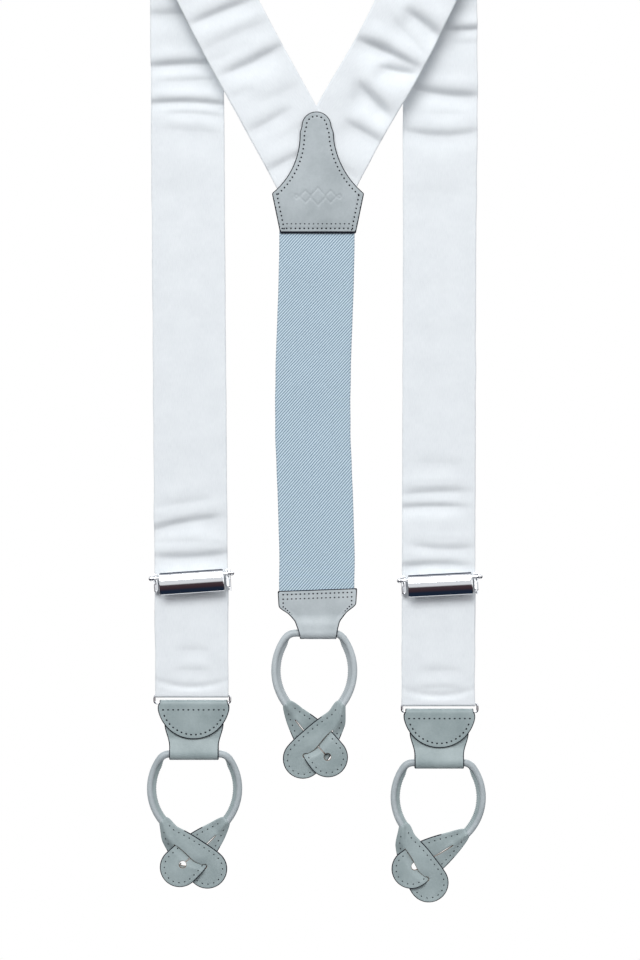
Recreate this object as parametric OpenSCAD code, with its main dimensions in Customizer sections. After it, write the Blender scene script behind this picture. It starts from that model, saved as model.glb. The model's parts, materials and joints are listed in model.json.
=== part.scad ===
// Button-end braces: satin shoulder straps, a leather yoke, an elastic back, lever adjusters and
// leather runners with buttonhole ears. They hang by their two shoulder bends. +Z is up, the back
// of the braces faces -Y, and the origin lies midway between the centres of the two bends.

/* [Ribbon] */
// Width of the satin ribbon
ribbon_w = 38; // [37:0.1:38.4]
// Thickness of the satin ribbon
ribbon_t = 0.7; // [0.6:0.05:0.8]
// Air left between layers that slide past each other
gap = 0.3; // [0.25:0.05:0.4]
// Thickness of one layer of leather
leather_t = 1.2; // [1:0.1:1.4]

/* [Layout] */
// Distance of each front strap from the middle
front_x = 65.2; // [62:0.2:68]
// Slant of each back strap from plumb, in degrees
back_slant = 28; // [26:0.5:30]
// Inner radius of the shoulder bend
bend_r = 4.2; // [4:0.1:5]
// Height of the lever pins below the bends, left and right
pin_drop = [326.5, 327.9]; // [300:0.1:340]
// Height of the left ring's upper bar below the bends
ring_drop = 389.55; // [385:0.05:395]
// How much lower the right side hangs
right_drop = 4.6; // [0:0.2:10]

/* [Yoke and elastic] */
// Height of the yoke's top below the bends
yoke_top = 82.4; // [78:0.2:86]
// Length of the yoke
yoke_len = 64.8; // [62:0.2:68]
// Width of the yoke at its shoulders
yoke_w = 47.8; // [46:0.2:50]
// Width of the yoke at its bottom edge
yoke_foot_w = 39.6; // [39:0.2:41]
// Radius of the yoke's round top
yoke_nub_r = 7.5; // [7:0.1:8]
// Width of the elastic web
elastic_w = 38.4; // [36:0.2:38.6]
// Thickness of the elastic web
elastic_t = 1.2; // [1:0.1:1.2]
// Length of elastic that shows between yoke and back tab
elastic_len = 186.3; // [170:0.1:200]

/* [Adjusters] */
// Sideways tilt of the adjusters, in degrees, left and right
adjuster_tilt = [4, 3]; // [0:0.5:4]
// Radius of the lever pin
pin_r = 0.8; // [0.7:0.05:0.9]
// Radius of the ball at each end of the lever pin
ball_r = 1.3; // [1.1:0.1:1.5]
// Length of the lever
lever_w = 34; // [32:0.5:36]
// Height of the lever
lever_h = 11.6; // [11:0.1:12]
// Height of the lever above its pin
lever_over = 3.3; // [3:0.1:3.4]

/* [Rings and front tabs] */
// Radius of the ring's wire
wire_r = 0.6; // [0.5:0.05:0.65]
// Distance between the ring's two long bars
ring_pitch = 4.3; // [4.2:0.1:5]
// Radius of the tab's round flap
flap_r = 19.2; // [19:0.1:19.4]
// Width of the tab's flap
flap_w = 37.7; // [37:0.1:38]
// Length of the flap below the ring's lower bar
flap_len = 19.65; // [19:0.05:20]
// Length of the tab from the ring's lower bar to the rope
sling_len = 26.75; // [26:0.05:28]
// Width of the tab's foot
sling_w = 26; // [25.6:0.1:26.2]

/* [Back tab] */
// Width of the back tab at its top
back_tab_w = 41.2; // [40.6:0.2:42]
// Length of the back tab from its top edge to the rope
back_tab_len = 22.8; // [22:0.2:24]
// Width of the back tab's foot
back_foot_w = 19.1; // [18.6:0.1:19.2]

/* [Runners] */
// Outer radius of the leather rope
rope_r = 1.9; // [1.8:0.05:2]
// Radius of the cord inside the leather rope
core_r = 1.2; // [1.1:0.05:1.3]
// Front runner: half width and depth of the eye to its widest place
front_eye = [23.2, 18.2]; // [16:0.1:25]
// Back runner: half width and depth of the eye to its widest place
back_eye = [20.6, 19.6]; // [16:0.1:25]
// Thickness of an ear
ear_t = 1.5; // [1.4:0.1:1.5]
// Half width of an ear's band
ear_half = 8.5; // [8:0.1:8.5]
// Radius of an ear's round tip
tip_r = 9.8; // [9.5:0.1:10.2]
// Radius of the round end of a buttonhole
hole_r = 1.8; // [1.6:0.1:1.8]

/* [Hidden] */
$fn = 64;

LEFT = 0;
RIGHT = 1;
satin = "ghostwhite";
web_blue = "lightblue";
hide = "lightsteelblue";
chrome = "silver";

// Planes: the back pieces hang at back_y, nearer the viewer than the front pieces at front_y.
fold_tilt = back_slant / 2;
back_y = -(bend_r + ribbon_t / 2);
front_y = bend_r + 1.5 * ribbon_t + gap;
layer = ribbon_t + gap;

// The front strap telescopes in its loop: where the one ends and the other begins.
strap_end = 290;
loop_top = 245;

// Yoke and elastic
yoke_side_r = 42.8;
yoke_shoulder = 43.9;
neck_len = 12;
tuck = 9.5;
strap_cut = yoke_len - tuck - 1.5;
elastic_top = yoke_top + yoke_len;
elastic_foot = elastic_top + elastic_len;
sandwich = elastic_t / 2 + 0.1;

// Adjuster, measured from the lever pin's axis
pin_y = -(1.5 * ribbon_t + gap) - gap - lever_over - 0.1;
cheek_x = ribbon_w / 2 + 0.5;
cheek_t = 0.7;
end_bar = [2.1, -8.5];
anvil_bar = [1.4, 0];
bar_r = 0.7;
frame_mid = -3.5;
lever_t = 0.8;
lever_bow_r = 9.8;
lever_lean = 20;
tail_len = 9;
barrel_r = 1.5;
run_fit = 0.05;

// Ring and tabs
ring_x = ribbon_w / 2 + gap + wire_r;
wrap_r = wire_r + run_fit;
flap_fold_w = 35.8;
rope_hole_r = rope_r + 0.08;
sling_r = rope_hole_r + leather_t;
plate_half = 0.6;

// Runners: the slit ear's half and the tip ear's half, each as [half length of the straight,
// half width, depth, turn in, tip x, tip z, hole past the tip's centre], with its rope at the left
rope_turn = 55;
front_half = [sling_w / 2 + 0.3, front_eye[0], front_eye[1]];
back_half = [back_foot_w / 2 + 0.3, back_eye[0], back_eye[1]];
front_runs = [
  [concat(front_half, [38, 7.9, -59.3, 0.8]), concat(front_half, [38, 7.9, -59.3, -2.2])],
  [concat(front_half, [32, -3.5, -62.4, 0.8]), concat(front_half, [44, 14.3, -55.5, -2.2])]
];
back_runs = [concat(back_half, [36, 7.3, -64.7, 0.8]), concat(back_half, [36, 7.3, -64.7, -0.4])];
rope_z = [-(ring_drop + ring_pitch + sling_len), -(ring_drop + ring_pitch + sling_len + right_drop)];
back_rope_z = -(elastic_foot + back_tab_len);
ear_gap = gap;
ear_depth = ear_t + ear_gap;
slot_half = 1.7;
slit_w = 0.8;
flare_len = 12;
seam = 0.04;

function side_x(side) = side == LEFT ? -front_x : front_x;
function side_z(side) = side == LEFT ? 0 : -right_drop;
function ring_z(side) = -ring_drop + side_z(side);

// Points on an arc about the origin
function arc(r, from, to, steps = 24) =
  [for (i = [0:steps]) let (a = from + (to - from) * i / steps) r * [cos(a), sin(a)]];
function shift(points, by) = [for (p = points) p + by];
function turned(points, a) =
  [for (p = points) [p[0] * cos(a) - p[1] * sin(a), p[0] * sin(a) + p[1] * cos(a)]];
function flipped(points) = [for (i = [len(points) - 1:-1:0]) [-points[i][0], points[i][1]]];

// Radii of the two arcs that carry the rope from the tab round to its widest place
function arc_det() = sin(rope_turn) * cos(rope_turn) - (1 - sin(rope_turn)) * (1 - cos(rope_turn));
function arc_1(r) = ((r[1] - r[0]) * cos(rope_turn) - r[2] * (1 - sin(rope_turn))) / arc_det();
function arc_2(r) = (r[2] * sin(rope_turn) - (r[1] - r[0]) * (1 - cos(rope_turn))) / arc_det();
function arc_2_mid(r) = [r[1] - arc_2(r), -r[2]];
function rope_end(r) = arc_2_mid(r) + arc_2(r) * [cos(r[3]), -sin(r[3])];
function ear_start(r) = [-rope_end(r)[0], rope_end(r)[1]];
function ear_way(r) = [r[4], r[5]] - ear_start(r);
function ear_len(r) = norm(ear_way(r));
function ear_angle(r) = atan2(ear_way(r)[1], ear_way(r)[0]);
function hole_at(r) = ear_len(r) + r[6];

// Distance along ear a to where the middle of the other ear b, drawn mirrored, crosses it
function mirror_x(v) = [-v[0], v[1]];
function cross_of(a, b) = a[0] * b[1] - a[1] * b[0];
function crossing(a, b) =
  cross_of(mirror_x(ear_start(b)) - ear_start(a), mirror_x(ear_way(b))) * ear_len(a)
  / cross_of(ear_way(a), mirror_x(ear_way(b)));

// Draws a flat outline of x and z as a slab of thickness t about the plane y
module slab(y, t) {
  translate([0, y + t / 2, 0]) rotate([90, 0, 0]) linear_extrude(t) children();
}

// Sweeps a profile of y and z along x
module along_x(len) {
  rotate([90, 0, 90]) linear_extrude(len, center = true) children();
}

module place(side, z) {
  translate([side_x(side), front_y, z]) children();
}

module mirrored(side) {
  if (side == RIGHT) mirror([1, 0, 0]) children();
  else children();
}

module both_ways() {
  children();
  mirror([1, 0, 0]) children();
}

// ---- Shoulder bends and straps ----

// Ribbon that hangs from a bend of inner radius r: its section in y and z is an arc from angle
// from to angle to, counted from +y towards +z, and a straight leg below the end of the arc.
module hanging_ribbon(r, from, to, leg) {
  end = cos(to);
  translate([-front_x, 0, 0]) rotate([0, -fold_tilt, 0]) along_x(2 * leg) polygon(concat(
    arc(r + ribbon_t, from, to), [[end * (r + ribbon_t), -leg], [end * r, -leg]], arc(r, to, from)
  ));
}

module strap_back(side) {
  color(satin) mirrored(side) intersection() {
    hanging_ribbon(bend_r, 5, 180, 200);
    slab(0, 40) intersection() {
      translate([-front_x, 0]) rotate(back_slant) translate([-ribbon_w / 2, -200])
        square([ribbon_w, 250]);
      translate([-200, -yoke_top - strap_cut]) square([200 - 0.15, 300]);
    }
  }
}

module strap_front(side) {
  color(satin) mirrored(side) intersection() {
    hanging_ribbon(bend_r + layer, 90, 0, 400);
    slab(0, 40) translate([-front_x - ribbon_w / 2, -strap_end]) square([ribbon_w, strap_end + 50]);
  }
}

// Half of a tube about the x axis: the upper half, or the lower half when down is true
module half_tube(r, t, len, down) {
  along_x(len) difference() {
    circle(r + t);
    circle(r);
    translate([-3 * r - 3 * t, down ? 0 : -6 * r]) square([6 * r + 6 * t, 6 * r]);
  }
}

module strap_loop(side) {
  z = ring_z(side);
  color(satin) place(side, z) {
    slab(-layer, ribbon_t) translate([-ribbon_w / 2, 0]) square([ribbon_w, -z - loop_top]);
    half_tube(wrap_r, ribbon_t, ribbon_w, true);
  }
}

module adjuster_place(side) {
  translate([side_x(side), front_y, -pin_drop[side] + frame_mid]) rotate([0, -adjuster_tilt[side], 0])
    translate([0, 0, -frame_mid]) children();
}

// The ribbon's end comes up behind, goes over the frame's end bar and is sewn down
module strap_return(side) {
  z = ring_z(side);
  rise = -pin_drop[side] + end_bar[1] - z;
  slope = ribbon_w / 2 * tan(adjuster_tilt[side]);
  color(satin) {
    place(side, z) slab(layer, ribbon_t)
      polygon([
        [-ribbon_w / 2, 0], [ribbon_w / 2, 0],
        [ribbon_w / 2, rise + slope], [-ribbon_w / 2, rise - slope]
      ]);
    adjuster_place(side) translate([0, end_bar[0], end_bar[1]]) {
      half_tube(bar_r + run_fit, ribbon_t, ribbon_w - 0.2, false);
      slab(bar_r + run_fit + ribbon_t / 2, ribbon_t)
        translate([-ribbon_w / 2 + 0.1, -tail_len]) square([ribbon_w - 0.2, tail_len]);
    }
  }
}

// ---- Adjusters ----

module rod(r, len) {
  rotate([0, 90, 0]) cylinder(r = r, h = len, center = true);
}

module adjuster_frame(side) {
  color(chrome) adjuster_place(side) {
    difference() {
      both_ways() translate([cheek_x + cheek_t / 2, 0, 0]) along_x(cheek_t) {
        translate([pin_y, 0]) circle(1.6);
        polygon([[pin_y, 1.6], [2.2, 2.4], [3.2, 1.4], [3.2, -9.4], [1.2, -9.8], [pin_y, -1.6]]);
      }
      translate([0, pin_y, 0]) rod(pin_r + 0.02, 3 * ribbon_w);
    }
    for (bar = [end_bar, anvil_bar]) translate([0, bar[0], bar[1]]) rod(bar_r, 2 * cheek_x + 0.4);
  }
}

module adjuster_pin(side) {
  pin_x = cheek_x + cheek_t + 0.4;
  color(chrome) adjuster_place(side) translate([0, pin_y, 0]) {
    rod(pin_r, 2 * pin_x);
    both_ways() translate([pin_x + 0.6, 0, 0]) sphere(ball_r);
  }
}

// The bowed lever, its barrel on the pin and the cam that bites the ribbon
module adjuster_lever(side) {
  bow_mid = [lever_bow_r - 2, lever_over - lever_h / 2];
  open = asin(lever_h / 2 / lever_bow_r);
  web = 8;
  inner = lever_bow_r - lever_t;
  cam = -pin_y - 1.5 * ribbon_t - 1.5 * gap;
  low = concat(
    arc(lever_bow_r, 180 - open, 180 + open), arc(inner, 180 + open, 180 + web, 8)
  );
  high = arc(inner, 180 - web - 12, 180 - open, 6);
  color(chrome) adjuster_place(side) translate([0, pin_y, 0]) difference() {
    along_x(lever_w) polygon(concat(
      turned(shift(low, bow_mid), lever_lean),
      arc(barrel_r, -80, -24, 6), [[cam, -0.6], [cam, 0.6]], arc(barrel_r, 24, 110, 8),
      turned(shift(high, bow_mid), lever_lean)
    ));
    rod(pin_r + run_fit, 2 * ribbon_w);
  }
}

// ---- Ring and front tab ----

module ring(side) {
  color(chrome) place(side, ring_z(side)) {
    for (z = [0, -ring_pitch]) translate([0, 0, z]) rod(wire_r, 2 * ring_x);
    both_ways() {
      for (z = [0, -ring_pitch]) translate([ring_x, 0, z]) sphere(wire_r);
      translate([ring_x, 0, -ring_pitch]) cylinder(r = wire_r, h = ring_pitch);
    }
  }
}

module flap_outline() {
  intersection() {
    translate([0, flap_r - flap_len]) circle(flap_r);
    translate([-flap_w / 2, -flap_len - 1]) square([flap_w, flap_len + 1]);
  }
}

module tab_flap(side) {
  color(hide) place(side, ring_z(side) - ring_pitch) {
    for (s = [-1, 1]) slab(s * (wrap_r + leather_t / 2), leather_t) flap_outline();
    half_tube(wrap_r, leather_t, flap_fold_w, false);
  }
}

// Section of a leather strip folded round the rope: outer half thickness h down to bend, then
// straight to the round of radius r about the rope at the origin
module drop_outline(h, top, bend, r) {
  touch = acos(r / norm([h, bend])) + atan2(h, bend);
  polygon(concat(
    [[-h, bend], [-h, top], [h, top], [h, bend]],
    [for (i = [0:32]) let (a = touch + (360 - 2 * touch) * i / 32) r * [sin(a), cos(a)]]
  ));
}

// The drop-shaped hollow inside the fold: round about the rope, pointed at the given height
module drop_cavity(height, r) {
  circle(r);
  touch = acos(r / height);
  p = r * [sin(touch), cos(touch)];
  polygon([[0, height], p, [-p[0], p[1]]]);
}

module sling_outline() {
  w = sling_w / 2;
  polygon(concat(
    [[-w, -5], [w, -5], [w, 2.6], [w + 0.1, 4.5], [w + 0.9, 7.6], [w + 2.7, 12.7], [w + 2.7, 24.1]],
    [[-w - 2.7, 24.1], [-w - 2.7, 12.7], [-w - 0.9, 7.6], [-w - 0.1, 4.5], [-w, 2.6]]
  ));
}

module tab_sling(side) {
  color(hide) place(side, rope_z[side]) intersection() {
    along_x(2 * sling_w) difference() {
      drop_outline(plate_half, 24, 7, sling_r);
      drop_cavity(5, rope_hole_r);
    }
    slab(0, 4 * sling_r) sling_outline();
  }
}

// ---- Yoke, elastic and back tab ----

module yoke_outline() {
  shoulder = yoke_shoulder;
  foot = yoke_len;
  neck = yoke_nub_r + 1.1;
  translate([0, -yoke_top]) {
    translate([0, -yoke_nub_r]) circle(yoke_nub_r);
    difference() {
      polygon([
        [-yoke_nub_r, -yoke_nub_r], [-neck, -neck_len], [-yoke_w / 2, -neck_len - 4],
        [-yoke_w / 2, -shoulder], [-yoke_foot_w / 2, -foot], [yoke_foot_w / 2, -foot],
        [yoke_w / 2, -shoulder], [yoke_w / 2, -neck_len - 4], [neck, -neck_len],
        [yoke_nub_r, -yoke_nub_r]
      ]);
      for (s = [-1, 1]) translate([s * (neck + yoke_side_r), -neck_len]) circle(yoke_side_r);
    }
  }
}

module yoke_outer() {
  color(hide) slab(back_y - sandwich - leather_t / 2, leather_t) yoke_outline();
}

module yoke_lining() {
  color(hide) slab(back_y + sandwich + leather_t / 2, leather_t) yoke_outline();
}

module elastic_web() {
  color(web_blue) slab(back_y, elastic_t) translate([-elastic_w / 2, -elastic_foot - tuck])
    square([elastic_w, elastic_len + 2 * tuck]);
}

module back_tab_outline() {
  w = back_foot_w / 2;
  side_r = 16.5;
  right = concat(
    [[w, -5]], shift(arc(side_r, 180, 113, 12), [w + side_r, -2.5]),
    [[back_tab_w / 2, back_tab_len]]
  );
  polygon(concat(right, flipped(right)));
}

module back_tab() {
  color(hide) translate([0, back_y, back_rope_z]) intersection() {
    along_x(2 * back_tab_w) difference() {
      drop_outline(sandwich + leather_t, back_tab_len, 9, sling_r);
      drop_cavity(5, rope_hole_r);
      translate([-sandwich, back_tab_len - tuck - 0.5]) square([2 * sandwich, tuck + 2]);
    }
    slab(0, 4 * sling_r) back_tab_outline();
  }
}

// ---- Runners ----

// Torus segment in the x-z plane: angles run from +x towards +z
module bend(mid, r, from, to, outer, inner) {
  translate([mid[0], 0, mid[1]]) rotate([90, 0, 0]) rotate([0, 0, from])
    rotate_extrude(angle = to - from) translate([r, 0]) difference() {
      circle(outer);
      if (inner > 0) circle(inner);
    }
}

module rope_half(r, outer, inner) {
  bend([r[0], -arc_1(r)], arc_1(r), 90 - rope_turn, 90, outer, inner);
  bend(arc_2_mid(r), arc_2(r), -r[3], 90 - rope_turn - seam, outer, inner);
}

module rope_path(runs, outer, inner) {
  straight = runs[0][0];
  difference() {
    rod(outer, 2 * straight);
    if (inner > 0) rod(inner, 3 * straight);
  }
  rope_half(runs[1], outer, inner);
  mirror([1, 0, 0]) rope_half(runs[0], outer, inner);
}

// Half width of an ear, a share f of the way along its flare
function flare(f) = rope_r + (ear_half - rope_r) * (1 - cos(180 * f)) / 2;

module ear_outline(r) {
  steps = 6;
  up = [for (i = [0:steps]) [flare_len * i / steps, flare(i / steps)]];
  down = [for (i = [steps:-1:0]) [flare_len * i / steps, -flare(i / steps)]];
  turn = 180 - asin(ear_half / tip_r);
  tip = [for (a = [turn:-turn / 15:-turn]) [ear_len(r) + tip_r * cos(a), tip_r * sin(a)]];
  difference() {
    polygon(concat(up, tip, down));
    translate([hole_at(r), 0]) circle(hole_r);
  }
}

// Moves an outline drawn along +x from the rope's left end to the tip of its ear
module ear_place(r) {
  translate(ear_start(r)) rotate(ear_angle(r)) children();
}

// The ear that stays flat. Its buttonhole slit is held open by the other ear.
module ear_slit(runs) {
  r = runs[0];
  mid = crossing(r, runs[1]);
  slot_len = ear_half / abs(sin(ear_angle(r) + ear_angle(runs[1]))) + gap + 0.2;
  slab(0, ear_t) ear_place(r) difference() {
    ear_outline(r);
    translate([mid - slot_len, -slot_half]) square([2 * slot_len, 2 * slot_half]);
    translate([mid, -slit_w / 2]) square([hole_at(r) - mid, slit_w]);
  }
}

// The ear that comes from behind, through the slit, and lies on top
module ear_tip(runs) {
  a = ear_depth - ear_t / 2;
  b = ear_depth + ear_t / 2;
  far = 60;
  r = runs[1];
  slit_at = crossing(r, runs[0]) + slot_half + 1;
  start = ear_start(runs[0]);
  intersection() {
    slab(0, 4 * ear_depth) mirror([1, 0]) ear_place(r) difference() {
      ear_outline(r);
      if (slit_at < hole_at(r) - hole_r) translate([slit_at, -slit_w / 2])
        square([hole_at(r) - slit_at, slit_w]);
    }
    translate([start[0], 0, start[1]]) rotate([0, -ear_angle(runs[0]), 0]) along_x(4 * far)
      polygon([
        [a, far], [b, far], [b, slot_half], [-a, -slot_half],
        [-a, -far], [-b, -far], [-b, -slot_half], [a, slot_half]
      ]);
  }
}

module front_runner(side) {
  color(hide) place(side, rope_z[side]) children();
}

module back_runner() {
  color(hide) translate([0, back_y, back_rope_z]) mirror([1, 0, 0]) children();
}

// ---- Pieces ----

yoke_outer();
yoke_lining();
strap_back(LEFT);  // strap_back_left
strap_back(RIGHT);  // strap_back_right
elastic_web();
back_tab();
back_runner() rope_path(back_runs, rope_r, core_r);  // back_rope
back_runner() rope_path(back_runs, core_r, 0);  // back_core
back_runner() ear_slit(back_runs);  // back_ear_slit
back_runner() ear_tip(back_runs);  // back_ear_tip
strap_front(LEFT);  // strap_front_left
strap_loop(LEFT);  // strap_loop_left
strap_return(LEFT);  // strap_return_left
adjuster_frame(LEFT);  // adjuster_frame_left
adjuster_pin(LEFT);  // adjuster_pin_left
adjuster_lever(LEFT);  // adjuster_lever_left
ring(LEFT);  // ring_left
tab_flap(LEFT);  // tab_flap_left
tab_sling(LEFT);  // tab_sling_left
front_runner(LEFT) rope_path(front_runs[LEFT], rope_r, core_r);  // rope_left
front_runner(LEFT) rope_path(front_runs[LEFT], core_r, 0);  // core_left
front_runner(LEFT) ear_slit(front_runs[LEFT]);  // ear_slit_left
front_runner(LEFT) ear_tip(front_runs[LEFT]);  // ear_tip_left
strap_front(RIGHT);  // strap_front_right
strap_loop(RIGHT);  // strap_loop_right
strap_return(RIGHT);  // strap_return_right
adjuster_frame(RIGHT);  // adjuster_frame_right
adjuster_pin(RIGHT);  // adjuster_pin_right
adjuster_lever(RIGHT);  // adjuster_lever_right
ring(RIGHT);  // ring_right
tab_flap(RIGHT);  // tab_flap_right
tab_sling(RIGHT);  // tab_sling_right
front_runner(RIGHT) rope_path(front_runs[RIGHT], rope_r, core_r);  // rope_right
front_runner(RIGHT) rope_path(front_runs[RIGHT], core_r, 0);  // core_right
front_runner(RIGHT) ear_slit(front_runs[RIGHT]);  // ear_slit_right
front_runner(RIGHT) ear_tip(front_runs[RIGHT]);  // ear_tip_right
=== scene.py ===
"""Satin suspenders that hang by their shoulder bends: leather yoke, elastic back, lever adjusters,
wire rings, and leather rope runners whose two ears pass through each other.

Lengths are in millimetres and angles in degrees; meshes are turned into metres where they are made.
+Z is up and the back of the braces faces -Y, as in the CAD. Places come from the frame.
"""

import json
import math

import bmesh
import bpy
import numpy as np
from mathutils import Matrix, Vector, geometry, noise


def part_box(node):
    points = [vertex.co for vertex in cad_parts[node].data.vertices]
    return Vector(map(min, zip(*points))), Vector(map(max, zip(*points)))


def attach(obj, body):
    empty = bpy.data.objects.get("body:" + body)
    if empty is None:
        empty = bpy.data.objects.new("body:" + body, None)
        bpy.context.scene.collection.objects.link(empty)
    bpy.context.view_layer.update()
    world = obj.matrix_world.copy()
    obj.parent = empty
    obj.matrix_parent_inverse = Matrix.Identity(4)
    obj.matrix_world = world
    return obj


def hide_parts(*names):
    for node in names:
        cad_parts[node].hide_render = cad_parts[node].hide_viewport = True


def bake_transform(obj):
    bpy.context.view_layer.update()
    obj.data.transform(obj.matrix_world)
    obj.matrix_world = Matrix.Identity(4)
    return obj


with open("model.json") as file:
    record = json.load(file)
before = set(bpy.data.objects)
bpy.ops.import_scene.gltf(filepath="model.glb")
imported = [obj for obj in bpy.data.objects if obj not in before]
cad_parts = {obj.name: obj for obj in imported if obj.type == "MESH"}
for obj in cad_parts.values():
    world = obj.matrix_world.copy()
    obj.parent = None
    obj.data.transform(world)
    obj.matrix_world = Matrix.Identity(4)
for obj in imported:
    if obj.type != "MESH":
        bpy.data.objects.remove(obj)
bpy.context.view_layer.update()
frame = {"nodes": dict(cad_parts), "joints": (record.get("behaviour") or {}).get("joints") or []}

MM = 0.001
SIDES = ("left", "right")
OUT = {"left": -1, "right": 1}
joints = {j["name"]: j for j in frame["joints"]}

# ---- Driving sizes ----

ribbon_thick = 0.6
ribbon_half = 19.1
back_slant = 28
bend_radius = 5.05
bend_mid_y = 0.5
fold_x = {"left": 66.6, "right": 66.9}
front_top_x = {"left": 68.3, "right": 65.6}
front_foot_x = {"left": 65.4, "right": 64.4}
seam_z = -14
front_y = 5.55
back_y = -4.55
loop_y = 4.55
return_y = 6.55

leather = 1.2
rim = 0.5
stitch_inset = 2.5
rope_r = 1.9
fold_r = 2.58

yoke_top = 1000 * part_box("yoke_outer")[1].z - 1.1
yoke_foot = 1000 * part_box("yoke_outer")[0].z
yoke_nub = 7.8
yoke_neck = (8.9, 10.9)
yoke_side_r = 41.0
yoke_shoulder = 42.8
yoke_foot_half = 19.8

cord_r = 1.55
fin_len = 1.5
ear_thick = 1.5
ear_tip_r = 10.5
ear_step = 1.8
hole_r = 1.8

# How far to the right of the CAD's middle lines these hang
runner_shift = {"back": -0.9, "left": 1.2, "right": -0.8}
flap_shift = {"left": 0.7, "right": -0.2}
sling_shift = {"left": 0.9, "right": -0.3}


# ---- Small helpers ----


def smooth(t):
    t = min(max(t, 0.0), 1.0)
    return t * t * (3 - 2 * t)


def bell(t):
    return math.exp(-t * t)


def mix(a, b, t):
    return a + (b - a) * t


def polar(radius, degrees):
    a = math.radians(degrees)
    return radius * math.cos(a), radius * math.sin(a)


def arc(mid, radius, start, end, steps):
    """Points on an arc about mid, from angle start to angle end."""
    points = []
    for i in range(steps + 1):
        x, z = polar(radius, start + (end - start) * i / steps)
        points.append((mid[0] + x, mid[1] + z))
    return points


def pivot(joint):
    """The point a joint turns about, in millimetres."""
    return Vector(joints[joint]["pos_m"]) * 1000


def ripple(x, z, size, seed):
    """A soft, repeatable unevenness between -1 and 1."""
    return noise.noise(Vector((x / size, z / size, seed)))


# ---- Mesh making ----


def build(name, points, faces, materials, face_materials=None, uvs=None):
    """One closed mesh object from points in millimetres."""
    mesh = bpy.data.meshes.new(name)
    mesh.from_pydata([tuple(c * MM for c in p) for p in points], [], faces)
    for m in materials:
        mesh.materials.append(m)
    mesh.polygons.foreach_set("use_smooth", [True] * len(faces))
    if face_materials is not None:
        mesh.polygons.foreach_set("material_index", face_materials)
    if uvs is not None:
        layer = mesh.uv_layers.new(name="lay")
        corners = np.zeros(len(mesh.loops), np.int32)
        mesh.loops.foreach_get("vertex_index", corners)
        layer.data.foreach_set("uv", np.array(uvs, np.float32)[corners].ravel())
    bm = bmesh.new()
    bm.from_mesh(mesh)
    bmesh.ops.recalc_face_normals(bm, faces=bm.faces)
    bm.to_mesh(mesh)
    bm.free()
    mesh.update()
    obj = bpy.data.objects.new(name, mesh)
    bpy.context.scene.collection.objects.link(obj)
    return obj


def bands(rows, count, closed=False):
    """Faces between rows of count points each; closed joins the last row to the first."""
    faces = []
    for i in range(rows if closed else rows - 1):
        a = i * count
        b = ((i + 1) % rows) * count
        for j in range(count):
            k = (j + 1) % count
            faces.append((a + j, a + k, b + k, b + j))
    return faces


def skin(rings, closed=False):
    """Points and faces of a tube through rings that all have the same number of points."""
    count = len(rings[0])
    points = [p for ring in rings for p in ring]
    faces = bands(len(rings), count, closed)
    if not closed:
        faces.append(tuple(range(count)))
        faces.append(tuple(range(len(points) - count, len(points))))
    return points, faces


def join_shapes(shapes):
    """One point list and face list from several."""
    points, faces = [], []
    for p, f in shapes:
        base = len(points)
        points += p
        faces += [tuple(i + base for i in face) for face in f]
    return points, faces


# ---- Ribbons ----


def ribbon(name, stations, thick, widths, relief, material, columns=44):
    """A ribbon through stations of (centre, across, normal, distance). widths gives the half
    widths against and along across at a distance, and relief how far it leaves its plane."""
    points, uvs = [], []
    count = 2 * columns + 4
    for centre, across, normal, v in stations:
        lower, upper = widths(v)
        front, back, flat = [], [], []
        for i in range(columns + 1):
            u = -lower + (lower + upper) * i / columns
            p = centre + across * u + normal * relief(u, v)
            front.append(p + normal * thick / 2)
            back.append(p - normal * thick / 2)
            flat.append((u, v))
        edge_1 = (front[-1] + back[-1]) / 2 + across * thick * 0.35
        edge_0 = (front[0] + back[0]) / 2 - across * thick * 0.35
        points += front + [edge_1] + back[::-1] + [edge_0]
        uvs += flat + [flat[-1]] + flat[::-1] + [flat[0]]
    faces = bands(len(stations), count)
    for base in (0, (len(stations) - 1) * count):
        for j in range(columns):
            faces.append((base + j, base + j + 1, base + 2 * columns + 1 - j, base + 2 * columns + 2 - j))
        faces.append((base + columns, base + columns + 1, base + columns + 2))
        faces.append((base, base + 2 * columns + 2, base + count - 1))
    return build(name, points, faces, [material], uvs=uvs)


front_fold_depth = 1.5
back_fold_depth = 2.2


def wrinkle(u, v, fold):
    """Height of one fold: a valley, steep above and easy below, slanting and bowing across."""
    at, depth, width, slant, bow, mid, reach = fold
    t = (v - at - slant * u - bow * u * u / 100) / width
    if abs(t) > 5:
        return 0.0
    share = bell(((u - mid) / reach) ** 2) if reach else 1.0
    valley = bell(t / 0.85) if t < 0 else bell(t / 2.3)
    return depth * share * (0.35 * bell((t + 2.2) / 1.5) - valley)


def creases(folds):
    """The relief that a list of folds makes."""
    return lambda u, v: sum(wrinkle(u, v, f) for f in folds)


# ---- Leather plates ----


def resampled(outline, step):
    """The closed outline with points about step apart."""
    out = []
    for i, a in enumerate(outline):
        b = outline[(i + 1) % len(outline)]
        length = math.dist(a, b)
        parts = max(1, round(length / step))
        for k in range(parts):
            out.append((mix(a[0], b[0], k / parts), mix(a[1], b[1], k / parts)))
    return out


def softened(outline, turns):
    """The outline with its corners rounded a little."""
    for _ in range(turns):
        count = len(outline)
        outline = [
            tuple(
                (outline[i - 1][k] + 2 * outline[i][k] + outline[(i + 1) % count][k]) / 4
                for k in (0, 1)
            )
            for i in range(count)
        ]
    return outline


def area_of(outline):
    total = 0
    for i, a in enumerate(outline):
        b = outline[(i + 1) % len(outline)]
        total += a[0] * b[1] - b[0] * a[1]
    return total / 2


def evened(outline):
    """The outline with even points and softened corners, counterclockwise."""
    outline = softened(resampled(outline, 0.55), 2)
    return outline[::-1] if area_of(outline) < 0 else outline


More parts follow.
